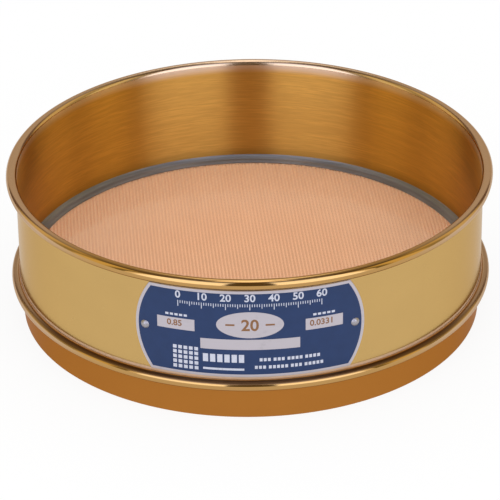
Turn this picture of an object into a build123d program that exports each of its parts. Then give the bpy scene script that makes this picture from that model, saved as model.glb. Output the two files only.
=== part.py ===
"""Round test sieve: a rolled brass frame, a nesting skirt and a woven wire cloth.

Millimetres. The axis of the sieve is Z, the bottom edge of the skirt lies on z = 0
and the nameplate faces -Y.
"""
from build123d import *
from math import acos, asin, atan2, cos, degrees, sin, sqrt
import os

# Frame: one spun sheet with a rolled rim, open at both ends.
bore_radius = 101.7         # inside of the frame, where the skirt of the next sieve seats
overall_height = 67.6       # bottom edge of the skirt to the top of the rim
frame_wall = 0.5            # sheet of the frame
rim_bead_d = 4.6            # outside diameter of the rolled rim
rim_curl_gap = 0.2          # from the tip of the rolled rim to the frame's wall
frame_bend_radius = 1.5     # inside radius of the bend into the bottom flange

# Skirt: one spun sheet whose top edge is rolled over the frame's flange.
nesting_clearance = 0.45    # from the skirt to a frame's bore, on the radius
skirt_wall = 0.5            # sheet of the skirt
seam_bead_d = 4.8           # outside diameter of the rolled seam
seam_bead_proud = 3.7       # how far the seam stands out of the frame's wall
seam_bead_height = 16.9     # centre of the seam above the bottom edge
seam_curl_gap = 0.1         # from the tip of the rolled seam to the frame's wall
skirt_cove_radius = 0.8     # outside bend from the skirt's wall into the seam
seam_inner_gap = 0.2        # from the clamped edges to the inside of the rolled seam

# Wire cloth: plain square weave, here one ridged wall with a gap for each row of openings.
wire_d = 0.56               # wire of the cloth
cloth_opening = 1.0         # clear square opening between the wires
gap_count = 120             # rows of openings across the cloth
gap_border = 0.8            # woven edge that the solder reaches, inside the solder's rim
cloth_turn = 4.6            # turn of the weave against the nameplate, in degrees

# Solder: the fillet that seals the corner between the frame and the cloth.
solder_width = 3.9          # on the cloth, measured from the bore
solder_rise = 2.6           # on the wall, measured from the cloth
solder_hollow = 0.3         # how far the fillet's face sinks below a straight bevel
solder_reach = 1.2          # how far it runs in under the frame's rounded foot

# Nameplate: an etched aluminium plate, curved to the wall and held by two rivets.
plate_length = 98.4         # along the curve of the wall
plate_end_bow = 6.7         # how far each end bows out past its corners, along the curve
plate_rim_gap = 1.6         # from the plate's top edge to the rolled rim
plate_seam_gap = 1.1        # from the plate's bottom edge to the rolled seam
plate_sheet = 0.5           # sheet of the plate
plate_seat_gap = 0.03       # from the plate's back to the frame's wall
plate_border = 1.3          # bare rim around the enamel
etch_depth = 0.15           # depth of the etched field
enamel_thickness = 0.12     # enamel in the etched field
oval_length = 28.0          # bare oval for the sieve's number
oval_height = 12.4
oval_lift = 4.5             # centre of the oval above the plate's centre
side_box_length = 16.2      # the two bare boxes beside the oval
side_box_height = 5.4
side_box_gap = 5.7          # from a side box to the rivet's centre line, along the curve
side_box_lift = 3.1
long_box_length = 41.5      # bare box below the oval
long_box_height = 4.9
long_box_drop = 4.9         # centre of the long box below the plate's centre

# Rivets: two domed rivets through the plate and the frame's wall.
rivet_inset = 4.2           # from the plate's end to the rivet's centre, along the curve
rivet_head_d = 3.8
rivet_head_height = 1.0
rivet_shank_d = 2.2
rivet_hole_clearance = 0.05
rivet_tail_recess = 0.05    # the tail ends this far short of the bore
rivet_land_inset = 0.35     # the bare land under a head is this much smaller in radius

cut_margin = 1.0            # how far a cutting shape runs past what it cuts

# Worked-out radii.
frame_outside = bore_radius + frame_wall
rim_bead_radius = rim_bead_d / 2
skirt_radius = bore_radius - nesting_clearance
seam_bead_radius = seam_bead_d / 2
seam_centre = frame_outside + seam_bead_proud - seam_bead_radius
seam_inside = seam_bead_radius - skirt_wall
plate_back = frame_outside + plate_seat_gap
plate_face = plate_back + plate_sheet

# Worked-out lengths along the plate's curve, from its middle.
plate_reach = plate_length / 2
rivet_offset = plate_reach - rivet_inset
side_box_outer = rivet_offset - side_box_gap
side_box_inner = side_box_outer - side_box_length

# Worked-out heights, from the bottom edge up.
cove_centre = skirt_radius + skirt_cove_radius
cove_reach = skirt_cove_radius + seam_bead_radius
cove_height = seam_bead_height - sqrt(cove_reach**2 - (seam_centre - cove_centre)**2)
cloth_bottom = cove_height + skirt_cove_radius + skirt_wall
cloth_thickness = 2 * wire_d
cloth_top = cloth_bottom + cloth_thickness
rim_centre_height = overall_height - rim_bead_radius
bend_outside = frame_bend_radius + frame_wall
plate_top = overall_height - rim_bead_d - plate_rim_gap
plate_bottom = seam_bead_height + seam_bead_radius + plate_seam_gap
plate_height = plate_top - plate_bottom
plate_centre_height = (plate_top + plate_bottom) / 2


def seam_reach(height):
    """Radius up to which a flat edge at this height stays clear inside the rolled seam."""
    rise = abs(seam_bead_height - height)
    return seam_centre + sqrt(seam_inside**2 - rise**2) - seam_inner_gap


def beside(run, at, distance):
    """Point that lies this far to the left of a run of the section, part of the way along it."""
    point = run @ at
    heading = run % at
    return (point.X - heading.Y * distance, point.Y + heading.X * distance)


def sheet_ring(runs, thickness):
    """A ring of sheet: tangent runs along one surface, thickened to their left and turned round Z."""
    edges = list(runs)
    for run in runs:
        start, middle, end = [beside(run, at, thickness) for at in (0, 0.5, 1)]
        if run.geom_type == GeomType.LINE:
            edges.append(Line(start, end))
        else:
            edges.append(ThreePointArc(start, middle, end))
    edges.append(Line(runs[0] @ 0, beside(runs[0], 0, thickness)))
    edges.append(Line(runs[-1] @ 1, beside(runs[-1], 1, thickness)))
    return revolve(Plane.XZ * make_face(edges), axis=Axis.Z)


def frame_shell():
    """Flange, bend, straight wall and rolled rim, drawn along the bore side."""
    flange_radius = min(seam_reach(cloth_top), seam_reach(cloth_top + frame_wall))
    bend_centre = (bore_radius + bend_outside, cloth_top + bend_outside)
    flange = Line((flange_radius, cloth_top), (bend_centre[0], cloth_top))
    bend = CenterArc(bend_centre, bend_outside, 270, -90)
    wall = Line((bore_radius, bend_centre[1]), (bore_radius, rim_centre_height))
    tip_reach = rim_bead_radius - frame_wall - rim_curl_gap
    tip_angle = degrees(acos(tip_reach / rim_bead_radius))
    rim_centre = (bore_radius + rim_bead_radius, rim_centre_height)
    rim = CenterArc(rim_centre, rim_bead_radius, 180, tip_angle - 360)
    return sheet_ring([flange, bend, wall, rim], -frame_wall)


def skirt():
    """Nesting wall, cove and the seam rolled over the flange, drawn along the outside."""
    wall = Line((skirt_radius, 0), (skirt_radius, cove_height))
    fall = seam_bead_height - cove_height
    turn = degrees(atan2(fall, seam_centre - cove_centre))
    cove = CenterArc((cove_centre, cove_height), skirt_cove_radius, 180, turn - 180)
    tip_reach = seam_centre - frame_outside - seam_curl_gap
    tip_angle = degrees(acos(tip_reach / seam_bead_radius))
    start = turn - 180
    seam = CenterArc((seam_centre, seam_bead_height), seam_bead_radius, start, 180 - tip_angle - start)
    return sheet_ring([wall, cove, seam], skirt_wall)


def wire_cloth():
    """Disc of cloth: ridges with a waisted gap between each two, inside a plain clamped edge."""
    cloth_radius = min(seam_reach(cloth_bottom), seam_reach(cloth_top))
    field_radius = bore_radius - solder_width - gap_border
    pitch = 2 * field_radius / (gap_count + 1)
    # The wall shows the same share of open area as the square weave.
    open_share = (cloth_opening / (cloth_opening + wire_d))**2
    waist = pitch * open_share
    mouth = pitch - wire_d / 2
    half = cloth_thickness / 2
    outline = [(-mouth / 2, half), (-waist / 2, 0), (-mouth / 2, -half),
               (mouth / 2, -half), (waist / 2, 0), (mouth / 2, half)]
    section = Plane.XZ * make_face(Polyline(outline, close=True))
    gaps = []
    for index in range(gap_count):
        across = (index + 1) * pitch - field_radius
        half_length = sqrt(field_radius**2 - across**2)
        gaps.append(Pos(across, 0, 0) * extrude(section, amount=half_length, both=True))
    disc = Cylinder(cloth_radius, cloth_thickness)
    cloth = Rot(0, 0, cloth_turn) * (disc - gaps)
    return Pos(0, 0, cloth_bottom + half) * cloth


def solder_fillet():
    """Hollow-faced fillet on the cloth, run in under the frame's rounded foot."""
    toe = (bore_radius - solder_width, cloth_top)
    top = (bore_radius, cloth_top + solder_rise)
    slope = sqrt(solder_width**2 + solder_rise**2)
    middle = ((toe[0] + top[0]) / 2 + solder_hollow * solder_rise / slope,
              (toe[1] + top[1]) / 2 - solder_hollow * solder_width / slope)
    face = ThreePointArc(toe, middle, top)
    wall = Line(top, (bore_radius, cloth_top + bend_outside))
    bend_centre = (bore_radius + bend_outside, cloth_top + bend_outside)
    turned = degrees(acos(1 - solder_reach / bend_outside))
    foot = CenterArc(bend_centre, bend_outside, 180, turned)
    bottom = Polyline(foot @ 1, (bore_radius + solder_reach, cloth_top), toe)
    return revolve(Plane.XZ * make_face([face, wall, foot, bottom]), axis=Axis.Z)


def flat_x(along):
    """Straight-ahead position of a point that lies this far along the plate's curve."""
    return plate_face * sin(along / plate_face)


def plate_outline(inset=0.0):
    """Outline of the plate seen from the front, its ends bowed out between the corners."""
    half = plate_height / 2
    end_radius = (half**2 + plate_end_bow**2) / (2 * plate_end_bow)
    end_centre = plate_reach - end_radius
    half -= inset
    end_radius -= inset
    corner = end_centre + sqrt(end_radius**2 - half**2)
    reach = end_centre + end_radius
    right = ThreePointArc((flat_x(corner), -half), (flat_x(reach), 0), (flat_x(corner), half))
    left = ThreePointArc((-flat_x(corner), half), (-flat_x(reach), 0), (-flat_x(corner), -half))
    top = Line(right @ 1, left @ 0)
    bottom = Line(left @ 1, right @ 0)
    return make_face([right, top, left, bottom])


def side_box(side):
    """A box beside the oval, as wide as its stretch of the curve looks from the front."""
    inner = flat_x(side_box_inner)
    outer = flat_x(side_box_outer)
    return Pos(side * (inner + outer) / 2, side_box_lift) * Rectangle(outer - inner, side_box_height)


def bare_islands():
    """Oval and boxes of the nameplate that stay bare metal."""
    oval = Pos(0, oval_lift) * Ellipse(flat_x(oval_length / 2), oval_height / 2)
    long_box = Pos(0, -long_box_drop) * Rectangle(2 * flat_x(long_box_length / 2), long_box_height)
    return [oval, long_box, side_box(-1), side_box(1)]


def curved_slab(outline, inside, outside):
    """The part of a curved sheet in front of an outline, between two radii."""
    depth = 2 * outside
    block = extrude(Plane.XZ * outline, amount=depth)
    sheet = Cylinder(outside, overall_height) - Cylinder(inside, overall_height)
    return Pos(0, 0, plate_centre_height) * (block & sheet)


def along_rivet(side, shape):
    """Turn a shape drawn along the X axis to the rivet on one side of the plate."""
    turn = degrees(rivet_offset / plate_face) * side - 90
    return Pos(0, 0, plate_centre_height) * Rot(0, 0, turn) * shape


def rivet_bar(side, radius, inside, outside):
    """Round bar on a rivet's line, between two distances from the sieve's axis."""
    bar = Rot(0, 90, 0) * Cylinder(radius, outside - inside)
    return along_rivet(side, Pos((inside + outside) / 2, 0, 0) * bar)


def rivet_holes():
    """Holes through the plate and the frame's wall."""
    radius = rivet_shank_d / 2 + rivet_hole_clearance
    inside = bore_radius - cut_margin
    outside = plate_face + cut_margin
    return [rivet_bar(side, radius, inside, outside) for side in (-1, 1)]


def etched_field(inside, outside):
    """The blue field between two radii: the plate less its border, islands and rivet lands."""
    field = plate_outline(plate_border)
    for island in bare_islands():
        field -= island
    land = rivet_head_d / 2 - rivet_land_inset
    lands = [rivet_bar(side, land, inside - cut_margin, outside + cut_margin) for side in (-1, 1)]
    return curved_slab(field, inside, outside) - lands


def nameplate():
    """Curved plate with its etched field and rivet holes."""
    plate = curved_slab(plate_outline(), plate_back, plate_face)
    plate -= etched_field(plate_face - etch_depth, plate_face + etch_depth)
    return plate - rivet_holes()


def nameplate_enamel():
    """Enamel that fills the etched field to just under the bare metal."""
    floor = plate_face - etch_depth
    return etched_field(floor, floor + enamel_thickness)


def rivet(side):
    """Domed head on the plate and a shank that ends just short of the bore."""
    head_radius = rivet_head_d / 2
    dome_radius = (head_radius**2 + rivet_head_height**2) / (2 * rivet_head_height)
    dome_centre = plate_face + rivet_head_height - dome_radius
    shoulder = asin(head_radius / dome_radius) / 2
    crown = (dome_centre + dome_radius * cos(shoulder), dome_radius * sin(shoulder))
    dome = ThreePointArc((plate_face, head_radius), crown, (plate_face + rivet_head_height, 0))
    tail = bore_radius + rivet_tail_recess
    shank_radius = rivet_shank_d / 2
    shank = Polyline((plate_face + rivet_head_height, 0), (tail, 0), (tail, shank_radius),
                     (plate_face, shank_radius), (plate_face, head_radius))
    return along_rivet(side, revolve(make_face([dome, shank]), axis=Axis.X))


def main():
    os.makedirs("parts", exist_ok=True)
    pieces = {
        "frame_shell": frame_shell() - rivet_holes(),
        "skirt": skirt(),
        "wire_cloth": wire_cloth(),
        "solder_fillet": solder_fillet(),
        "nameplate": nameplate(),
        "nameplate_enamel": nameplate_enamel(),
        "rivet_left": rivet(-1),
        "rivet_right": rivet(1),
    }
    for name, piece in pieces.items():
        export_step(piece, f"parts/{name}.step")


main()
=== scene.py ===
"""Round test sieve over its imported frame: brass sheet, woven wire cloth, solder and an etched plate."""
from math import acos, ceil, cos, degrees, hypot, pi, radians, sin, sqrt

import bpy
from bpy.props import FloatProperty, FloatVectorProperty, IntProperty, PointerProperty
from mathutils import Matrix, Vector


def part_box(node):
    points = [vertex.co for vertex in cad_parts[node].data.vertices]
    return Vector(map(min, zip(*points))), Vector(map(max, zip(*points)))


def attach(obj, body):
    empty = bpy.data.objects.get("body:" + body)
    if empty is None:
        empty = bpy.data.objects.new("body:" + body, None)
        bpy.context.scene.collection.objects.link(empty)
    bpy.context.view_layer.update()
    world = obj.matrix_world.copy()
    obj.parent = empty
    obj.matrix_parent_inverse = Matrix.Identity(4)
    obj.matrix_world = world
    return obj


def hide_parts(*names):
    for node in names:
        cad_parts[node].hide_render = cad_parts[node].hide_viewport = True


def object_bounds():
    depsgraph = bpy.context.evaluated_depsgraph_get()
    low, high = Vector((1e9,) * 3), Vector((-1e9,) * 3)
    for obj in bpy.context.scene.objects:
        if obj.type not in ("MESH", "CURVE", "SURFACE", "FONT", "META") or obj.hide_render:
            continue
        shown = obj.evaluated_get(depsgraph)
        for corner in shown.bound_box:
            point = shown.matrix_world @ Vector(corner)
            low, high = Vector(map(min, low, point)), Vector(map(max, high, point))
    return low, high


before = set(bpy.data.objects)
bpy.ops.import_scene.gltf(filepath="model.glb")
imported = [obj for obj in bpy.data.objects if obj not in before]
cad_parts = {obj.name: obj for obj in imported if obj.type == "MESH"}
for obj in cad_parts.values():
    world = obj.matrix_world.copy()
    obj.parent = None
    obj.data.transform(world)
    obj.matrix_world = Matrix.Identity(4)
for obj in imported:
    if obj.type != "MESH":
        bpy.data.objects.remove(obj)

bl_info = {
    "name": "Test sieve",
    "version": (1, 0, 0),
    "blender": (4, 5, 0),
    "location": "View3D > Sidebar > Test sieve",
    "description": "Models the sheet, wires, solder and plate of a round test sieve",
    "category": "Object",
}

CAD_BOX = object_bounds()
CLOTH_LOW, CLOTH_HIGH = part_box("wire_cloth")
MM = 0.001

# Sizes and colours that a user can change.

def length(name, description, default):
    """A length in the panel, given in millimetres."""
    return FloatProperty(name=name, description=description, default=default * MM, min=0.0,
                         unit="LENGTH", precision=5)


def colour(name, description, default):
    """A colour in the panel, given as linear red, green and blue."""
    return FloatVectorProperty(name=name, description=description, default=default, size=3,
                               min=0.0, max=1.0, subtype="COLOR")


class SieveSizes(bpy.types.PropertyGroup):
    """Sizes of the sieve's pieces."""
    height: length("Height", "Bottom edge of the skirt to the top of the rim", CAD_BOX[1].z / MM)
    bore_radius: length("Bore radius", "Inside of the frame's wall", 101.7)
    sheet: length("Sheet", "Thickness of the brass sheet", 0.5)
    rim_radius: length("Rim radius", "Outside radius of the rolled rim's section", 2.3)
    rim_tip_gap: length("Rim tip gap", "From the tip of the rolled rim to the wall", 0.2)
    foot_radius: length("Foot radius", "Bend of the wall into its flange, on the bore side", 2.0)
    flange_radius: length("Flange radius", "Outer edge of the frame's bottom flange", 105.1)
    skirt_radius: length("Skirt radius", "Outside of the nesting skirt", 101.25)
    cove_radius: length("Cove radius", "Bend of the skirt into the rolled seam", 0.8)
    seam_radius: length("Seam radius", "Outside radius of the rolled seam's section", 2.4)
    seam_height: length("Seam height", "Centre of the rolled seam above the bottom edge", 16.9)
    seam_centre: length("Seam centre", "Centre of the rolled seam from the axis", 103.5)
    cloth_radius: length("Cloth radius", "Ends of the longest wires from the axis", 103.5)
    wire_radius: length("Wire radius", "Radius of the cloth's wires", 0.28)
    wire_flat: FloatProperty(name="Wire flatness", description="Sideways stretch of a wire's section",
                             default=1.5, min=1.0)
    wire_pitch: length("Wire pitch", "From one wire to the next", 1.56)
    cloth_turn: FloatProperty(name="Cloth turn", description="Turn of the weave against the plate",
                              default=radians(4.6), unit="ROTATION")
    solder_width: length("Solder width", "Reach of the solder on the cloth", 3.9)
    solder_rise: length("Solder rise", "Reach of the solder up the wall", 2.6)
    solder_hollow: length("Solder hollow", "How far the solder's face sinks", 0.3)
    solder_reach: length("Solder reach", "How far the solder runs in under the foot", 1.2)
    plate_face: length("Plate face", "Bare face of the plate from the axis", 102.73)
    enamel_face: length("Enamel face", "Face of the enamel from the axis", 102.7)
    steps: IntProperty(name="Steps", description="Divisions round the sieve", default=256, min=64)


class SieveColours(bpy.types.PropertyGroup):
    """Colours of the sieve's finishes."""
    outside: colour("Outside", "Polished outside of the frame", (0.57, 0.37, 0.135))
    inside: colour("Inside", "Brushed inside of the frame", (0.67, 0.37, 0.078))
    bead: colour("Beads", "Rolled rim and seam", (0.49, 0.285, 0.10))
    skirt: colour("Skirt", "Satin face of the skirt", (0.42, 0.165, 0.03))
    # The skirt's bore is brass painted pale: painted light for what shows through the cloth, where it lies
    # in shade.
    skirt_bore: colour("Skirt bore", "Bright inside of the skirt", (0.90, 0.60, 0.40))
    bronze: colour("Bronze", "Wires of the cloth", (1.00, 0.57, 0.33))
    solder: colour("Solder", "Grey solder", (0.19, 0.186, 0.19))
    aluminium: colour("Aluminium", "Bare metal of the plate", (0.52, 0.48, 0.52))
    rivet: colour("Rivets", "Metal of the rivets", (0.36, 0.34, 0.36))
    enamel: colour("Enamel", "Blue enamel of the plate", (0.0135, 0.032, 0.099))
    print_light: colour("Light print", "Bare marks in the enamel", (0.48, 0.50, 0.60))
    print_brown: colour("Brown print", "Figures on the bare metal", (0.20, 0.085, 0.025))
    floor: colour("Floor", "Floor under the sieve", (0.92, 0.92, 0.92))


# Shader nodes.

class Value:
    """A shader socket that Python arithmetic works on: each operation adds a Math node."""

    def __init__(self, shader, socket):
        self.shader = shader
        self.socket = socket

    def __add__(self, other):
        return self.shader.math("ADD", self, other)

    def __radd__(self, other):
        return self.shader.math("ADD", other, self)

    def __sub__(self, other):
        return self.shader.math("SUBTRACT", self, other)

    def __rsub__(self, other):
        return self.shader.math("SUBTRACT", other, self)

    def __mul__(self, other):
        return self.shader.math("MULTIPLY", self, other)

    def __truediv__(self, other):
        return self.shader.math("DIVIDE", self, other)


class Shader:
    """A node tree that is built by calls."""

    def __init__(self, owner):
        owner.use_nodes = True
        self.tree = owner.node_tree
        self.tree.nodes.clear()

    def node(self, kind, settings=None, sockets=None, output=0):
        """Add a node: its settings first, then the values or links of its sockets."""
        made = self.tree.nodes.new("ShaderNode" + kind)
        for name, value in (settings or {}).items():
            setattr(made, name, value)
        for name, value in (sockets or {}).items():
            if isinstance(value, Value):
                self.tree.links.new(value.socket, made.inputs[name])
            else:
                made.inputs[name].default_value = value
        return Value(self, made.outputs[output]) if made.outputs else None

    def math(self, operation, *values):
        """One Math node."""
        return self.node("Math", {"operation": operation}, dict(enumerate(values)))

    def mix(self, share, first, second):
        """Mix two colours."""
        return self.node("Mix", {"data_type": "RGBA"}, {0: share, 6: first, 7: second}, output=2)

    def place(self, scale=(1, 1, 1)):
        """Object coordinates in millimetres, stretched by a scale."""
        at = self.node("TexCoord", output="Object")
        per_mm = [1000 * part for part in scale]
        return self.node("VectorMath", {"operation": "MULTIPLY"}, {0: at, 1: per_mm})

    def noise(self, scale, detail=2.0, roughness=0.5):
        """Noise over the piece, in steps of 1 / scale millimetres along each axis."""
        return self.node("TexNoise", None, {"Vector": self.place(scale), "Scale": 1.0,
                                            "Detail": detail, "Roughness": roughness})

    def fade(self, value, low, high):
        """0 below low, 1 above high and smooth between; where low is above high, it falls instead."""
        return self.node("MapRange", {"interpolation_type": "SMOOTHSTEP"},
                         {"Value": value, "From Min": low, "From Max": high})

    def bump(self, height, distance):
        """A Bump node whose distance is in millimetres."""
        return self.node("Bump", None, {"Height": height, "Distance": distance * MM, "Strength": 1.0})

    def ring(self):
        """Height and distance from the axis, in millimetres, and the cosine of the angle from the plate."""
        at = self.place()
        flat = self.node("VectorMath", {"operation": "MULTIPLY"}, {0: at, 1: (1, 1, 0)})
        out = self.node("VectorMath", {"operation": "LENGTH"}, {0: flat}, output=1)
        along = self.node("SeparateXYZ", None, {0: at}, output="Y")
        return self.node("SeparateXYZ", None, {0: at}, output="Z"), out, along * -1 / out

    def surface(self, shader_value):
        """Send a shader to the output."""
        self.node("OutputMaterial", None, {"Surface": shader_value})

    def principled(self, **sockets):
        """A Principled BSDF as the surface; each socket's name has _ for its spaces."""
        named = {name.replace("_", " "): value for name, value in sockets.items()}
        self.surface(self.node("BsdfPrincipled", None, named))


def finish(name):
    """A new material and its shader."""
    material = bpy.data.materials.new(name)
    return material, Shader(material)


def shade(rgb, factor):
    """A colour made lighter or darker, with its alpha."""
    return (*[min(part * factor, 1.0) for part in rgb], 1.0)


# Where tones change on the brass: pairs of heights or distances from the axis, in millimetres,
# between which each one fades in or, with the larger number first, fades out.
FOOT_TOP, FOOT_BOTTOM, FOOT_OUT = (20.6, 19.9), (18.8, 19.1), (102.8, 102.7)
DEEP_TOP, DEEP_OUT = (19.1, 18.7), (103.0, 102.8)
SHOULDER_IN, SHOULDER_OUT = (103.3, 103.8), (105.65, 105.3)
GROOVE_SHADE_TOP, GROOVE_SHADE_BOTTOM = (20.5, 19.8), (16.0, 17.0)
RIM_HIGHLIGHT, DARKER_FOOT = (61.4, 65.4), (25.0, 18.5)
# Where the cloth's painted light begins and where it is full, in millimetres from the axis.
CLOTH_EDGE_LIGHT = (30.0, 100.0)
# Cosines of the angle round from the plate, where the beads' painted flank reflection fades in and where
# their painted groove shade thins.
FLANK_REFLECTION_FRONT, GROOVE_SHADE_FRONT = (0.52, 0.84), (0.36, 0.66)

# Painted reflection: the pale pinkish tone of the beads' flanks, away from the plate.
FLANK_REFLECTION_TONE = (0.60, 0.45, 0.34, 1)
# Painted highlight: the pale pinkish band on the wall's foot, just above the seam.
FOOT_HIGHLIGHT_TONE = (0.80, 0.62, 0.50, 1)
# Painted shade: the dark brown of the groove above the seam.
GROOVE_SHADE_TONE = (0.12, 0.06, 0.03, 1)
# Painted highlight: the pale tone at the top of the bore, under the rim.
RIM_HIGHLIGHT_TONE = (0.74, 0.58, 0.42, 1)
# Painted light: the pale tone the wires take near the walls.
CLOTH_EDGE_LIGHT_TONE = (0.96, 0.86, 0.66, 1)


def polished_brass(rgb, name, roughness, flank_reflection=0.0):
    """Rolled brass sheet: faint rolling lines, cloudy lacquer and handling marks, with a painted flank
    reflection on the beads, a painted highlight on the wall's foot and painted shade in the groove above the
    seam.
    """
    material, s = finish(name)
    lines = s.noise((0.02, 0.02, 14.0), detail=3.0)
    clouds = s.noise((0.035, 0.035, 0.05), detail=3.0)
    marks = s.fade(s.noise((0.5, 0.5, 1.1), detail=4.0), 0.66, 0.78)
    tone = s.mix(clouds, shade(rgb, 0.95), shade(rgb, 1.05))
    tone = s.mix(marks * 0.25, tone, shade(rgb, 0.72))
    up, out, facing = s.ring()
    front = s.fade(facing, *FLANK_REFLECTION_FRONT)
    # Painted reflection: away from the plate the beads are tinted pale pink, and their roughness rises a
    # little.
    if flank_reflection:
        tone = s.mix((1 - front) * flank_reflection, tone, FLANK_REFLECTION_TONE)
    # Painted highlight: a pale, less metallic, rougher band on the wall's foot, just above the seam, stands
    # in for the light line along it.
    foot = s.fade(up, *FOOT_TOP) * s.fade(up, *FOOT_BOTTOM) * s.fade(out, *FOOT_OUT)
    tone = s.mix(foot * 0.7, tone, FOOT_HIGHLIGHT_TONE)
    # Painted shade: the groove between the wall's foot and the rolled seam is darkened and roughened, most
    # towards the plate, where it mirrors dark.
    deep = s.fade(up, *DEEP_TOP) * s.fade(out, *DEEP_OUT)
    shoulder = (s.fade(out, *SHOULDER_IN) * s.fade(out, *SHOULDER_OUT)
                * (0.35 + s.fade(facing, *GROOVE_SHADE_FRONT) * 0.65))
    groove_shade = (deep + shoulder) * s.fade(up, *GROOVE_SHADE_TOP) * s.fade(up, *GROOVE_SHADE_BOTTOM)
    tone = s.mix(groove_shade * 0.92, tone, GROOVE_SHADE_TONE)
    edge = [0.5 + 0.5 * part for part in rgb]
    s.principled(Base_Color=tone, Metallic=1.0 - foot * 0.4, Specular_Tint=(*edge, 1),
                 Roughness=(roughness + lines * 0.04 + clouds * 0.03 + marks * 0.08
                            + groove_shade * 0.25 + foot * 0.2 + (1 - front) * flank_reflection * 0.15),
                 Normal=s.bump(lines, 0.0015))
    return material


def brushed_brass(rgb, name):
    """The bore's finish: fine scratches run round it, so lights spread up and down."""
    material, s = finish(name)
    fine = s.noise((0.08, 0.08, 1.7), detail=4.0, roughness=0.6)
    broad = s.noise((0.018, 0.018, 0.5), detail=3.0)
    tone = s.mix(s.fade(broad, 0.30, 0.70), shade(rgb, 0.95), shade(rgb, 1.06))
    tone = s.mix(s.fade(fine, 0.36, 0.64), shade(rgb, 0.87), tone)
    up = s.node("SeparateXYZ", None, {0: s.place()}, output="Z")
    # Painted highlight: the bore turns pale just under the rim.
    tone = s.mix(s.fade(up, *RIM_HIGHLIGHT) * 0.75, tone, RIM_HIGHLIGHT_TONE)
    # Darker towards the foot of the bore.
    tone = s.mix(s.fade(up, *DARKER_FOOT) * 0.5, tone, shade(rgb, 0.45))
    s.principled(Base_Color=tone, Metallic=1.0, Anisotropic=1.0, Anisotropic_Rotation=0.25,
                 Roughness=0.36 + fine * 0.08, Normal=s.bump(fine, 0.006))
    return material


def bronze_wire(rgb, name, brightness):
    """Drawn phosphor bronze, a little uneven in colour, and painted paler towards the edge of the cloth as
    painted light against the walls' shade.
    """
    material, s = finish(name)
    rgb = [part * brightness for part in rgb]
    patches = s.noise((0.08, 0.08, 0.08), detail=2.0)
    grain = s.noise((1.2, 1.2, 1.2), detail=2.0)
    tone = s.mix(patches, shade(rgb, 0.93), shade(rgb, 1.05))
    tone = s.mix(s.fade(grain, 0.55, 0.75) * 0.3, tone, shade(rgb, 0.75))
    _, out, _ = s.ring()
    # Painted light: the wires turn paler towards the walls, to offset the shade the walls cast on the cloth.
    tone = s.mix(s.fade(out, *CLOTH_EDGE_LIGHT) * 0.25, tone, CLOTH_EDGE_LIGHT_TONE)
    s.principled(Base_Color=tone, Metallic=0.25, Roughness=0.45 + grain * 0.15)
    return material


def grey_solder(rgb):
    """Wiped solder: long dull and bright streaks, small pits and a softly rippled skin."""
    material, s = finish("grey_solder")
    streaks = s.noise((0.035, 0.035, 0.9), detail=4.0, roughness=0.55)
    pits = s.fade(s.noise((1.3, 1.3, 1.3), detail=3.0), 0.64, 0.76)
    tone = s.mix(s.fade(streaks, 0.35, 0.65), shade(rgb, 0.85), shade(rgb, 1.25))
    tone = s.mix(pits * 0.4, tone, shade(rgb, 0.55))
    s.principled(Base_Color=tone, Metallic=0.6, Roughness=0.36 + streaks * 0.18,
                 Normal=s.bump(streaks - pits * 0.3, 0.06))
    return material


def bare_aluminium(rgb, name):
    """Satin plate metal with fine straight brushing and a few darker rubs."""
    material, s = finish(name)
    grain = s.noise((0.05, 0.05, 12.0), detail=3.0)
    rubs = s.fade(s.noise((0.25, 0.25, 0.4), detail=4.0), 0.55, 0.75)
    tone = s.mix(grain, shade(rgb, 0.92), shade(rgb, 1.08))
    tone = s.mix(rubs * 0.35, tone, shade(rgb, 0.78))
    s.principled(Base_Color=tone, Metallic=0.9, Roughness=0.34 + grain * 0.12,
                 Normal=s.bump(grain, 0.002))
    return material


def blue_enamel(rgb):
    """Baked enamel: slightly mottled colour and a soft orange-peel gloss."""
    material, s = finish("blue_enamel_coat")
    mottle = s.noise((0.25, 0.25, 0.25), detail=4.0)
    peel = s.noise((2.2, 2.2, 2.2), detail=1.0)
    tone = s.mix(mottle, shade(rgb, 0.86), shade(rgb, 1.14))
    s.principled(Base_Color=tone, Roughness=0.42 + mottle * 0.10, Specular_IOR_Level=0.25,
                 Normal=s.bump(peel, 0.004))
    return material


def print_ink(rgb, name):
    """Printed or etched marks with a slightly worn face."""
    material, s = finish(name)
    wear = s.noise((0.9, 0.9, 0.9), detail=3.0)
    tone = s.mix(s.fade(wear, 0.5, 0.75), shade(rgb, 1.0), shade(rgb, 0.85))
    s.principled(Base_Color=tone, Roughness=0.45 + wear * 0.1)
    return material


def dress(piece, *materials):
    """Give a piece its materials."""
    piece.data.materials.clear()
    for material in materials:
        piece.data.materials.append(material)


# Modelling.

# Divisions of each bend of a section.
AROUND_FOOT, AROUND_RIM, AROUND_COVE, AROUND_SEAM, AROUND_SOLDER = 8, 28, 10, 24, 5
# Where the seam's edge ends, in degrees, once it is curled over the flange.
SEAM_TIP = 300
# The brushed finish runs out and up on the rolled rim, by these shares of its radius.
BRUSHED_OUT, BRUSHED_UP = 1 / 9, 0.27
# Distances from one face of the sheet that tell its far side and its beads, as shares of the sheet.
PAST_WALL, INSIDE_SKIRT = 1.05, 0.6
# Roughness of the beads, and the share of painted flank reflection on them.
BEAD_ROUGHNESS, BEAD_FLANK_REFLECTION = 0.04, 0.6
# Painted shade: the weft wires are darker than the warp wires, for light and dark stripes along the weave.
WARP_BRIGHTNESS, WEFT_PAINTED_SHADE = 1.0, 0.87
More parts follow.
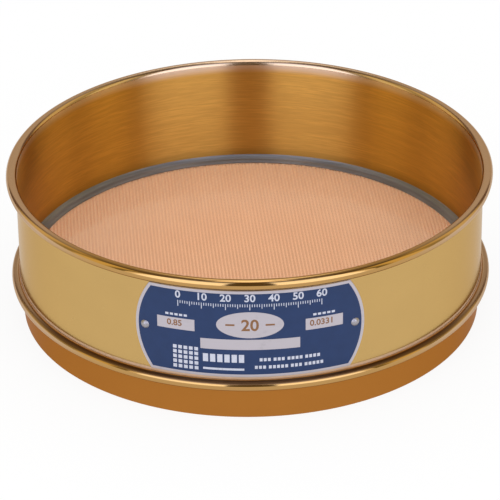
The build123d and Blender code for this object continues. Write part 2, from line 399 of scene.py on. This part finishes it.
# The solder's face, in shares of the way from its toe to its top: a ridge, and how far it reaches.
RIDGE_PLACE, RIDGE_REACH, RIDGE_HEIGHT, SOLDER_STEPS = 0.28, 0.20, 0.5, 18
TAIL_RADIUS, TAIL_DEPTH, TAIL_BEVEL, TAIL_SINK = 1.7 * MM, 0.36 * MM, 0.06 * MM, 0.1 * MM


def only(piece):
    """Select one piece and make it active."""
    bpy.ops.object.select_all(action="DESELECT")
    piece.select_set(True)
    bpy.context.view_layer.objects.active = piece


def named(name):
    """Name the piece that was just added."""
    piece = bpy.context.object
    piece.name = piece.data.name = name
    return piece


def apply(piece, kind, **settings):
    """Add a modifier to a piece and apply it."""
    only(piece)
    modifier = piece.modifiers.new(kind.title(), kind)
    for name, value in settings.items():
        setattr(modifier, name, value)
    bpy.ops.object.modifier_apply(modifier=modifier.name)


def join(pieces, name):
    """Join pieces into the first one."""
    only(pieces[0])
    for piece in pieces:
        piece.select_set(True)
    bpy.ops.object.join()
    return named(name)


def pick(piece, wanted):
    """Open a piece in edit mode with only the points selected that are wanted by their place."""
    only(piece)
    bpy.ops.object.mode_set(mode="EDIT")
    bpy.ops.mesh.select_mode(type="VERT")
    bpy.ops.mesh.select_all(action="DESELECT")
    bpy.ops.object.mode_set(mode="OBJECT")
    for vertex in piece.data.vertices:
        vertex.select = wanted(vertex.co)
    bpy.ops.object.mode_set(mode="EDIT")


class Section:
    """The section of a ring, drawn in the XZ plane by pushing one point along, then turned round Z."""

    def __init__(self, name, radius, height):
        bpy.ops.object.select_all(action="DESELECT")
        bpy.ops.mesh.primitive_plane_add(size=MM)
        self.piece = named(name)
        bpy.ops.object.mode_set(mode="EDIT")
        bpy.ops.mesh.select_mode(type="VERT")
        bpy.ops.mesh.merge(type="CENTER")
        self.at = Vector((radius, 0, height))
        bpy.ops.transform.translate(value=self.at)

    def run(self, radius, height):
        """Push the point straight to a place."""
        end = Vector((radius, 0, height))
        bpy.ops.mesh.extrude_vertices_move(TRANSFORM_OT_translate={"value": end - self.at})
        self.at = end

    def curl(self, radius, height, turn, steps):
        """Carry the point round a centre, by degrees counter-clockwise with the axis on the left."""
        centre = Vector((radius, 0, height))
        bpy.ops.mesh.spin(steps=steps, angle=radians(turn), center=centre, axis=(0, 1, 0))
        self.at = centre + Matrix.Rotation(-radians(turn), 3, "Y") @ (self.at - centre)

    def turn(self, steps):
        """Spin the section round the axis and close the ring."""
        bpy.ops.mesh.select_all(action="SELECT")
        bpy.ops.mesh.spin(steps=steps, angle=2 * pi, center=(0, 0, 0), axis=(0, 0, 1))
        bpy.ops.mesh.select_all(action="SELECT")
        bpy.ops.mesh.remove_doubles(threshold=0.001 * MM)
        bpy.ops.mesh.normals_make_consistent(inside=False)
        bpy.ops.object.mode_set(mode="OBJECT")
        return self.piece


def thicken(piece, thickness, side):
    """Face a ring of sheet towards the axis (-1) or away from it (1) and thicken it behind that face."""
    wall = max(piece.data.polygons, key=lambda face: face.area)
    if wall.normal.dot(Vector((wall.center.x, wall.center.y, 0))) * side < 0:
        only(piece)
        bpy.ops.object.mode_set(mode="EDIT")
        bpy.ops.mesh.select_all(action="SELECT")
        bpy.ops.mesh.flip_normals()
        bpy.ops.object.mode_set(mode="OBJECT")
    apply(piece, "SOLIDIFY", thickness=thickness, offset=-1, use_even_offset=True)
    smooth(piece)


def smooth(piece, angle=35):
    """Shade a piece smooth, with its sharp edges kept."""
    only(piece)
    bpy.ops.object.shade_smooth_by_angle(angle=radians(angle))


def ride(piece, slot, *nodes):
    """Put a piece on the sieve's body in place of CAD nodes, which are hidden; the slot argument is not
    used.
    """
    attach(piece, "root")
    if nodes:
        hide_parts(*nodes)


class SieveOperator(bpy.types.Operator):
    """Shared settings of the sieve's operators."""
    bl_options = {"REGISTER", "UNDO"}

    @property
    def sizes(self):
        return bpy.context.scene.sieve_sizes

    @property
    def colours(self):
        return bpy.context.scene.sieve_colours


class SIEVE_OT_frame_shell(SieveOperator):
    """Roll the frame: flange, foot, straight wall and curled rim."""
    bl_idname = "sieve.frame_shell"
    bl_label = "Frame shell"

    def execute(self, context):
        size = self.sizes
        bore = size.bore_radius
        foot = CLOTH_HIGH.z
        rim_height = size.height - size.rim_radius
        tip = degrees(acos((size.rim_radius - size.sheet - size.rim_tip_gap) / size.rim_radius))
        section = Section("brass_frame_shell", size.flange_radius, foot)
        section.run(bore + size.foot_radius, foot)
        section.curl(bore + size.foot_radius, foot + size.foot_radius, -90, AROUND_FOOT)
        section.run(bore, rim_height)
        section.curl(bore + size.rim_radius, rim_height, tip - 360, AROUND_RIM)
        shell = section.turn(size.steps)
        thicken(shell, size.sheet, -1)
        dress(shell, polished_brass(self.colours.outside, "polished_brass", roughness=0.20),
              brushed_brass(self.colours.inside, "brushed_brass"),
              polished_brass(self.colours.bead, "polished_rim", BEAD_ROUGHNESS, BEAD_FLANK_REFLECTION))
        for face in shell.data.polygons:
            reach = Vector((face.center.x, face.center.y, 0))
            if (reach.length < bore + size.rim_radius * BRUSHED_OUT and face.normal.dot(reach) < 0
                    and face.center.z < rim_height + size.rim_radius * BRUSHED_UP):
                face.material_index = 1
            elif reach.length > bore + size.sheet * PAST_WALL or face.center.z > rim_height:
                face.material_index = 2
        ride(shell, "brass_frame", "frame_shell")
        return {"FINISHED"}


class SIEVE_OT_skirt(SieveOperator):
    """Roll the skirt: straight wall, cove and the seam curled over the frame's flange."""
    bl_idname = "sieve.skirt"
    bl_label = "Skirt"

    def execute(self, context):
        size = self.sizes
        cove_centre = size.skirt_radius + size.cove_radius
        reach = size.cove_radius + size.seam_radius
        cove_height = size.seam_height - sqrt(reach**2 - (size.seam_centre - cove_centre)**2)
        turn = degrees(acos((size.seam_centre - cove_centre) / reach))
        section = Section("brass_skirt_shell", size.skirt_radius, 0)
        section.run(size.skirt_radius, cove_height)
        section.curl(cove_centre, cove_height, turn - 180, AROUND_COVE)
        section.curl(size.seam_centre, size.seam_height, SEAM_TIP - turn, AROUND_SEAM)
        skirt = section.turn(size.steps)
        thicken(skirt, size.sheet, 1)
        # The skirt's bore below the cove is brass painted pale, as painted light under the cloth.
        dress(skirt, polished_brass(self.colours.bead, "polished_seam", BEAD_ROUGHNESS, BEAD_FLANK_REFLECTION),
              polished_brass(self.colours.skirt, "satin_skirt", roughness=0.38),
              polished_brass(self.colours.skirt_bore, "skirt_bore_painted_light", roughness=0.5))
        for face in skirt.data.polygons:
            if face.center.z < cove_height:
                inner = face.center.xy.length < size.skirt_radius - size.sheet * INSIDE_SKIRT
                face.material_index = 2 if inner else 1
        ride(skirt, "brass_skirt", "skirt")
        return {"FINISHED"}


class SIEVE_OT_wire_cloth(SieveOperator):
    """Weave the cloth: one bend of wire is repeated, trimmed to a disc and copied for the cross wires."""
    bl_idname = "sieve.wire_cloth"
    bl_label = "Wire cloth"

    def execute(self, context):
        size = self.sizes
        pitch, radius = size.wire_pitch, size.wire_radius
        middle = (CLOTH_LOW.z + CLOTH_HIGH.z) / 2
        pairs = ceil(size.cloth_radius / pitch)
        start = -pairs * pitch
        bpy.ops.object.select_all(action="DESELECT")
        bpy.ops.mesh.primitive_circle_add(vertices=6, radius=radius, location=(start, start, radius),
                                          rotation=(pi / 2, 0, 0))
        warp = named("warp_wires")
        warp.scale.x = size.wire_flat
        bpy.ops.object.transform_apply()
        bpy.ops.object.mode_set(mode="EDIT")
        bpy.ops.mesh.select_all(action="SELECT")
        for rise in (-2 * radius, 2 * radius):
            bpy.ops.mesh.extrude_region_move(TRANSFORM_OT_translate={"value": (0, pitch, rise)})
        bpy.ops.object.mode_set(mode="OBJECT")
        apply(warp, "ARRAY", count=pairs, use_relative_offset=False, use_constant_offset=True,
              constant_offset_displace=(0, 2 * pitch, 0), use_merge_vertices=True, merge_threshold=0.01 * MM)
        only(warp)
        bpy.ops.object.mode_set(mode="EDIT")
        bpy.ops.mesh.select_all(action="SELECT")
        bpy.ops.mesh.duplicate_move(TRANSFORM_OT_translate={"value": (pitch, pitch, 0)})
        bpy.ops.object.mode_set(mode="OBJECT")
        apply(warp, "ARRAY", count=pairs, use_relative_offset=False, use_constant_offset=True,
              constant_offset_displace=(2 * pitch, 0, 0))
        # Whole rings of points go by their crossing, so that every wire ends in a hole of six sides.
        pick(warp, lambda at: hypot(round(at.x / pitch), round(at.y / pitch)) * pitch > size.cloth_radius)
        bpy.ops.mesh.delete(type="VERT")
        bpy.ops.mesh.select_all(action="SELECT")
        bpy.ops.mesh.delete_loose()
        bpy.ops.mesh.select_all(action="SELECT")
        bpy.ops.mesh.fill_holes(sides=6)
        bpy.ops.mesh.normals_make_consistent(inside=False)
        bpy.ops.object.mode_set(mode="OBJECT")
        weft = warp.copy()
        weft.data = warp.data.copy()
        weft.name = weft.data.name = "weft_wires"
        context.collection.objects.link(weft)
        weft.data.transform(Matrix.Rotation(pi / 2, 4, "Z"))
        place = Matrix.Translation((0, 0, middle)) @ Matrix.Rotation(size.cloth_turn, 4, "Z")
        for piece, brightness in ((warp, WARP_BRIGHTNESS), (weft, WEFT_PAINTED_SHADE)):
            piece.data.transform(place)
            smooth(piece, angle=60)
            dress(piece, bronze_wire(self.colours.bronze, piece.name + "_bronze", brightness))
            ride(piece, "bronze_cloth", "wire_cloth")
        return {"FINISHED"}


class SIEVE_OT_solder(SieveOperator):
    """Run the solder into the corner and leave it as uneven as a wiped joint."""
    bl_idname = "sieve.solder"
    bl_label = "Solder"

    def execute(self, context):
        size = self.sizes
        bore = size.bore_radius
        low = CLOTH_HIGH.z
        toe = Vector((bore - size.solder_width, 0, low))
        top = Vector((bore, 0, low + size.solder_rise))
        across = top - toe
        sink = Vector((across.z, 0, -across.x)).normalized() * size.solder_hollow
        section = Section("solder_ring", toe.x, toe.z)
        for step in range(1, SOLDER_STEPS + 1):
            share = step / SOLDER_STEPS
            ridge = max(0.0, 1 - ((share - RIDGE_PLACE) / RIDGE_REACH)**2)
            at = toe + across * share + sink * (1 - (2 * share - 1)**2 - RIDGE_HEIGHT * ridge)
            section.run(at.x, at.z)
        section.run(bore, low + size.foot_radius)
        turned = degrees(acos(1 - size.solder_reach / size.foot_radius))
        section.curl(bore + size.foot_radius, low + size.foot_radius, turned, AROUND_SOLDER)
        section.run(bore + size.solder_reach, low)
        section.run(toe.x, toe.z)
        ring = section.turn(size.steps)
        smooth(ring)
        dress(ring, grey_solder(self.colours.solder))
        ride(ring, "solder", "solder_fillet")
        return {"FINISHED"}


class SIEVE_OT_nameplate(SieveOperator):
    """Finish the plate, its enamel and its rivets, and set the marks on them."""
    bl_idname = "sieve.nameplate"
    bl_label = "Nameplate"

    def execute(self, context):
        size, colours = self.sizes, self.colours
        plate = bare_aluminium(colours.aluminium, "plate_metal_satin")
        rivet = bare_aluminium(colours.rivet, "rivet_metal_satin")
        enamel = blue_enamel(colours.enamel)
        for node, material in (("nameplate", plate), ("nameplate_enamel", enamel),
                               ("rivet_left", rivet), ("rivet_right", rivet)):
            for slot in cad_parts[node].material_slots:
                slot.material = material
        light = join([*scale_marks(), *side_marks(), *corner_marks()], "plate_marks")
        wrap(light, size.enamel_face)
        dress(light, print_ink(colours.print_light, "light_print"))
        ride(light, "plate_metal")
        for node in ("rivet_left", "rivet_right"):
            self.tail(node, rivet)
        brown = join([*[figures(*place) for place in BOX_FIGURES], bars("oval_dashes", OVAL_DASHES)],
                     "plate_figures")
        wrap(brown, size.plate_face)
        dress(brown, print_ink(colours.print_brown, "brown_print"))
        ride(brown, "blue_enamel")
        return {"FINISHED"}

    def tail(self, node, material):
        """Set the low tail of a rivet on the inside of the frame's wall."""
        low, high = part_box(node)
        outwards = Vector(((low.x + high.x) / 2, (low.y + high.y) / 2, 0)).normalized()
        bpy.ops.mesh.primitive_cylinder_add(vertices=24, radius=TAIL_RADIUS, depth=TAIL_DEPTH)
        tail = named(node.replace("rivet", "rivet_tail"))
        apply(tail, "BEVEL", width=TAIL_BEVEL, segments=2, limit_method="ANGLE")
        at = outwards * (self.sizes.bore_radius + TAIL_SINK) + Vector((0, 0, (low.z + high.z) / 2))
        turn = outwards.to_track_quat("Z", "Y").to_matrix().to_4x4()
        tail.data.transform(Matrix.Translation(at) @ turn)
        smooth(tail)
        dress(tail, material)
        ride(tail, "rivet_metal")


# Marks of the plate are laid out flat, in millimetres along its curve and up from the bottom edge.

MARK_THICKNESS = 0.06
DIGIT_SHARE = 0.70
# Figures in the three boxes: place along the plate, foot and height.
BOX_FIGURES = (("20", 0, 42.8, 5.2), ("0.85", -31.7, 43.1, 2.7), ("0.0331", 30.1, 43.1, 2.7))
OVAL_DASHES = ((-10.2, 45.0, -6.4, 45.8), (6.4, 45.0, 10.2, 45.8))
SCALE_LENGTH, SCALE_HEIGHT, SCALE_FIGURE, FIGURE_GAP = 60, 55.3, 3.3, 1.2
TICK_HALF_WIDTH, TICK_TEN, TICK_FIVE, TICK_ONE = 0.16, 2.8, 2.1, 1.3
SIDE_DASHES = (-35.6, 26.3)
# Broken rules: start, foot, and how many dashes each of their words has.
BROKEN_RULES = ((3.8, 28.0, (3, 3, 4, 4)), (1.8, 24.4, (3, 5, 3, 5)))
DASH_STEP, WORD_GAP = 1.7, 0.7


def figures(text, along, up, tall):
    """Plain figures, centred at a place along the plate and standing on a height."""
    bpy.ops.object.select_all(action="DESELECT")
    bpy.ops.object.text_add()
    piece = bpy.context.object
    piece.data.body = text
    piece.data.align_x = "CENTER"
    piece.data.size = tall / DIGIT_SHARE
    piece.data.offset = 0.03 * tall
    piece.data.extrude = MARK_THICKNESS / 2
    piece.data.resolution_u = 4
    bpy.ops.object.convert(target="MESH")
    piece = bpy.context.object
    piece.data.transform(Matrix.Translation((along, up, 0)))
    return piece


def bars(name, boxes):
    """Flat bars, each given by its low and high corner, divided so that they can follow the curve."""
    bpy.ops.object.select_all(action="DESELECT")
    bpy.ops.mesh.primitive_plane_add(size=1)
    piece = named(name)
    bpy.ops.object.mode_set(mode="EDIT")
    bpy.ops.mesh.delete(type="VERT")
    for left, low, right, high in boxes:
        middle = ((left + right) / 2, (low + high) / 2, -MARK_THICKNESS / 2)
        bpy.ops.mesh.primitive_grid_add(x_subdivisions=max(1, ceil(right - left)), y_subdivisions=1, size=1,
                                        location=middle)
        bpy.ops.transform.resize(value=(right - left, high - low, 1), center_override=middle)
        bpy.ops.mesh.extrude_region_move(TRANSFORM_OT_translate={"value": (0, 0, MARK_THICKNESS)})
    bpy.ops.object.mode_set(mode="OBJECT")
    return piece


def scale_marks():
    """A plain scale: figures at every tenth mark and a row of ticks below them."""
    ticks = []
    middle = SCALE_LENGTH // 2
    for mark in range(SCALE_LENGTH + 1):
        along = mark - middle
        tall = TICK_TEN if mark % 10 == 0 else TICK_FIVE if mark % 5 == 0 else TICK_ONE
        ticks.append((along - TICK_HALF_WIDTH, SCALE_HEIGHT - tall, along + TICK_HALF_WIDTH, SCALE_HEIGHT))
    tens = range(0, SCALE_LENGTH + 1, 10)
    return [bars("ticks", ticks),
            *[figures(str(mark), mark - middle, SCALE_HEIGHT + FIGURE_GAP, SCALE_FIGURE) for mark in tens]]


def row(left, low, width, tall, step, count):
    """Equal boxes in a row, each as its low and high corner."""
    starts = [left + step * index for index in range(count)]
    return [(start, low, start + width, low + tall) for start in starts]


def side_marks():
    """A row of short dashes over each side box."""
    dashes = []
    for left in SIDE_DASHES:
        dashes += row(left, low=47.8, width=1.4, tall=1.0, step=2.0, count=5)
    return [bars("dashes", dashes)]


def corner_marks():
    """A block of small squares, six blocks over a rule beside it, and two broken rules opposite."""
    boxes = []
    for line in range(5):
        boxes += row(left=-32.6, low=23.0 + 2.3 * line, width=1.6, tall=1.6, step=2.3, count=5)
    boxes += row(left=-19.8, low=27.4, width=2.2, tall=3.8, step=3.0, count=6)
    boxes += row(left=-19.8, low=23.6, width=17.2, tall=1.0, step=0, count=1)
    for left, low, words in BROKEN_RULES:
        for dashes in words:
            boxes += row(left, low, width=1.2, tall=1.5, step=DASH_STEP, count=dashes)
            left += DASH_STEP * dashes + WORD_GAP
    return [bars("corner_marks", boxes)]


def wrap(piece, radius):
    """Wrap flat marks round the wall, from millimetres to metres, facing -Y."""
    for vertex in piece.data.vertices:
        along, up, out = [part * MM for part in vertex.co]
        turn = along / radius
        vertex.co = ((radius + out) * sin(turn), -(radius + out) * cos(turn), up)
    only(piece)
    bpy.ops.object.mode_set(mode="EDIT")
    bpy.ops.mesh.select_all(action="SELECT")
    bpy.ops.mesh.remove_doubles(threshold=0.001 * MM)
    bpy.ops.mesh.normals_make_consistent(inside=False)
    bpy.ops.object.mode_set(mode="OBJECT")


# Stage: camera, floor, lamps and world.

# Upright screens round the studio: start and end in degrees from the front, soft edge, colour.
SCREENS = ((11, 52, 1, (1.16, 1.35, 1.90)), (52, 64, 3, (0.3, 0.25, 0.1)), (64, 86, 4, (1.1, 0.93, 0.45)),
           (86, 99, 3, (0.5, 0.4, 0.15)), (99, 126, 5, (0.95, 0.75, 0.32)), (128, 142, 3, (0.2, 0.12, 0.08)),
           (142, 181, 2, (0.70, 0.61, 0.50)))
# What polished faces mirror between the screens, above them ahead and behind, and overhead.
BETWEEN_SCREENS = (0.16, 0.12, 0.06, 1)
ABOVE_AHEAD, ABOVE_BEHIND = (0.20, 0.15, 0.09, 1), (0.45, 0.40, 0.32, 1)
BACK_STRIP, OVERHEAD = (2.0, 2.1, 2.3, 1), (2.4, 2.4, 2.5, 1)
WHITE = (1, 1, 1, 1)
# Where those fade in, in degrees round from the front, and in degrees up from level.
AHEAD, FIRST_SCREEN, STRIP_SIDE = (130.0, 110.0), (54.0, 50.0), (164.0, 170.0)
SCREEN_TOP, STRIP_HEIGHT, OVERHEAD_HEIGHT = (32.0, 56.0), (44.0, 52.0), (79.0, 83.0)
RISE_AHEAD, RISE_FIRST = 14.0, 13.0
# The floor inside the skirt glows as if warm light fell on it through the cloth.
UNDER_MIDDLE, UNDER_EDGE = (0.74, 0.39, 0.225, 1), (0.76, 0.41, 0.25, 1)
UNDER_MATT = (0.80, 0.52, 0.36, 1)
UNDER_CLOTH, SKIRT_FOOT = (50.0, 100.0), (100.8, 101.1)
FLOOR_GLOW = 0.88
LAMP_LIFT = 0.05

CAMERA_LENS, CAMERA_SENSOR = 214.98, 36.0
CAMERA_AT = (0.005663, -1.158765, 0.668973)
CAMERA_RIGHT = (0.999941, -0.000992, -0.010785)
CAMERA_UP = (0.009905, 0.486589, 0.873575)


class SIEVE_OT_stage(SieveOperator):
    """Set the camera, a plain pale floor and soft studio lamps."""
    bl_idname = "sieve.stage"
    bl_label = "Stage"

    def execute(self, context):
        right, up = Vector(CAMERA_RIGHT), Vector(CAMERA_UP)
        turn = Matrix((right, up, right.cross(up))).transposed()
        bpy.ops.object.camera_add()
        camera = bpy.context.object
        camera.name = "studio_camera"
        camera.matrix_world = Matrix.Translation(CAMERA_AT) @ turn.to_4x4()
        camera.data.lens = CAMERA_LENS
        camera.data.sensor_width = CAMERA_SENSOR
        context.scene.camera = camera
        bpy.ops.mesh.primitive_plane_add(size=12)
        floor = named("studio_floor")
        dress(floor, self.pale_floor())
        for side in (-1, 1):
            self.softbox(f"softbox_{'left' if side < 0 else 'right'}", azimuth=33 * side,
                         distance=1.6, width=1.28, height=1.9, power=8.0)
        self.daylight(context.scene)
        context.scene.view_settings.view_transform = "Standard"
        return {"FINISHED"}

    def pale_floor(self):
        """White where it is looked at or mirrored, and softly shaded by the sieve."""
        material, s = finish("pale_floor")
        grain = s.noise((0.01, 0.01, 0.01), detail=2.0)
        tone = s.mix(grain, shade(self.colours.floor, 0.98), shade(self.colours.floor, 1.0))
        from_axis = s.node("VectorMath", {"operation": "LENGTH"}, {0: s.place()}, output=1)
        open_floor = s.fade(from_axis, *SKIRT_FOOT)
        covered = s.mix(s.fade(from_axis, *UNDER_CLOTH), UNDER_MIDDLE, UNDER_EDGE)
        tone = s.mix(open_floor, UNDER_MATT, tone)
        matt = s.node("BsdfDiffuse", None, {"Color": tone})
        glow = s.node("Emission", None, {"Color": s.mix(open_floor, covered, WHITE), "Strength": 1.0})
        s.surface(s.node("MixShader", None, {0: self.seen(s) * FLOOR_GLOW, 1: matt, 2: glow}))
        return material

    def seen(self, s):
        """1 for rays from the camera, from a reflection or through glass."""
        rays = [s.node("LightPath", output=name) for name in
                ("Is Camera Ray", "Is Glossy Ray", "Is Transmission Ray")]
        return s.math("MINIMUM", rays[0] + rays[1] + rays[2], 1.0)

    def softbox(self, name, azimuth, distance, width, height, power):
        """A large upright lamp just above the floor that faces the sieve, by its angle from the front."""
        outwards = Vector((sin(radians(azimuth)), -cos(radians(azimuth)), 0))
        at = outwards * distance + Vector((0, 0, height / 2 + LAMP_LIFT))
        bpy.ops.object.light_add(type="AREA", location=at)
        lamp = bpy.context.object
        lamp.name = name
        lamp.data.shape = "RECTANGLE"
        lamp.data.size, lamp.data.size_y = width, height
        lamp.data.energy = power
        lamp.rotation_euler = outwards.to_track_quat("Z", "Y").to_euler()

    def daylight(self, scene):
        """An even pale world for matt surfaces; polished ones mirror a studio with upright screens."""
        world = bpy.data.worlds.new("studio_world")
        scene.world = world
        s = Shader(world)
        direction = s.node("TexCoord", output="Generated")
        x, y, z = [s.node("SeparateXYZ", None, {0: direction}, output=axis) for axis in "XYZ"]
        round_front = s.math("ABSOLUTE", s.math("ARCTAN2", x, y * -1.0)) * degrees(1)
        height = s.math("ARCSINE", z) * degrees(1)
        mirrored = BETWEEN_SCREENS
        for start, end, edge, rgb in SCREENS:
            begun = s.fade(round_front, start - edge, start + edge)
            ended = s.fade(round_front, end - edge, end + edge)
            mirrored = s.mix(begun * (1 - ended), mirrored, (*rgb, 1))
        ahead = s.fade(round_front, *AHEAD)
        rise = s.fade(round_front, *FIRST_SCREEN) * RISE_FIRST
        top, clear = SCREEN_TOP
        above = s.fade(height, top + ahead * RISE_AHEAD + rise, clear + rise)
        mirrored = s.mix(above, mirrored, s.mix(ahead, ABOVE_BEHIND, ABOVE_AHEAD))
        strip = s.fade(round_front, *STRIP_SIDE) * s.fade(height, *STRIP_HEIGHT)
        mirrored = s.mix(strip, mirrored, BACK_STRIP)
        mirrored = s.mix(s.fade(height, *OVERHEAD_HEIGHT), mirrored, OVERHEAD)
        tone = s.mix(s.node("LightPath", output="Is Glossy Ray"), WHITE, mirrored)
        background = s.node("Background", None, {"Color": tone, "Strength": 1.0})
        s.node("OutputWorld", None, {"Surface": background})


class SIEVE_PT_panel(bpy.types.Panel):
    """Lists the sieve's pieces, sizes and colours."""
    bl_idname = "SIEVE_PT_panel"
    bl_label = "Test sieve"
    bl_space_type = "VIEW_3D"
    bl_region_type = "UI"
    bl_category = "Test sieve"

    def draw(self, context):
        for operator in OPERATORS:
            self.layout.operator(operator.bl_idname)
        for group in (context.scene.sieve_sizes, context.scene.sieve_colours):
            for name in group.__annotations__:
                self.layout.prop(group, name)


OPERATORS = (SIEVE_OT_frame_shell, SIEVE_OT_skirt, SIEVE_OT_wire_cloth, SIEVE_OT_solder,
             SIEVE_OT_nameplate, SIEVE_OT_stage)
CLASSES = (SieveSizes, SieveColours, *OPERATORS, SIEVE_PT_panel)


def register():
    for item in CLASSES:
        bpy.utils.register_class(item)
    bpy.types.Scene.sieve_sizes = PointerProperty(type=SieveSizes)
    bpy.types.Scene.sieve_colours = PointerProperty(type=SieveColours)


def unregister():
    del bpy.types.Scene.sieve_colours
    del bpy.types.Scene.sieve_sizes
    for item in reversed(CLASSES):
        bpy.utils.unregister_class(item)


def main():
    register()
    bpy.ops.sieve.frame_shell()
    bpy.ops.sieve.skirt()
    bpy.ops.sieve.wire_cloth()
    bpy.ops.sieve.solder()
    bpy.ops.sieve.nameplate()
    bpy.ops.sieve.stage()


if __name__ == "__main__":
    main()
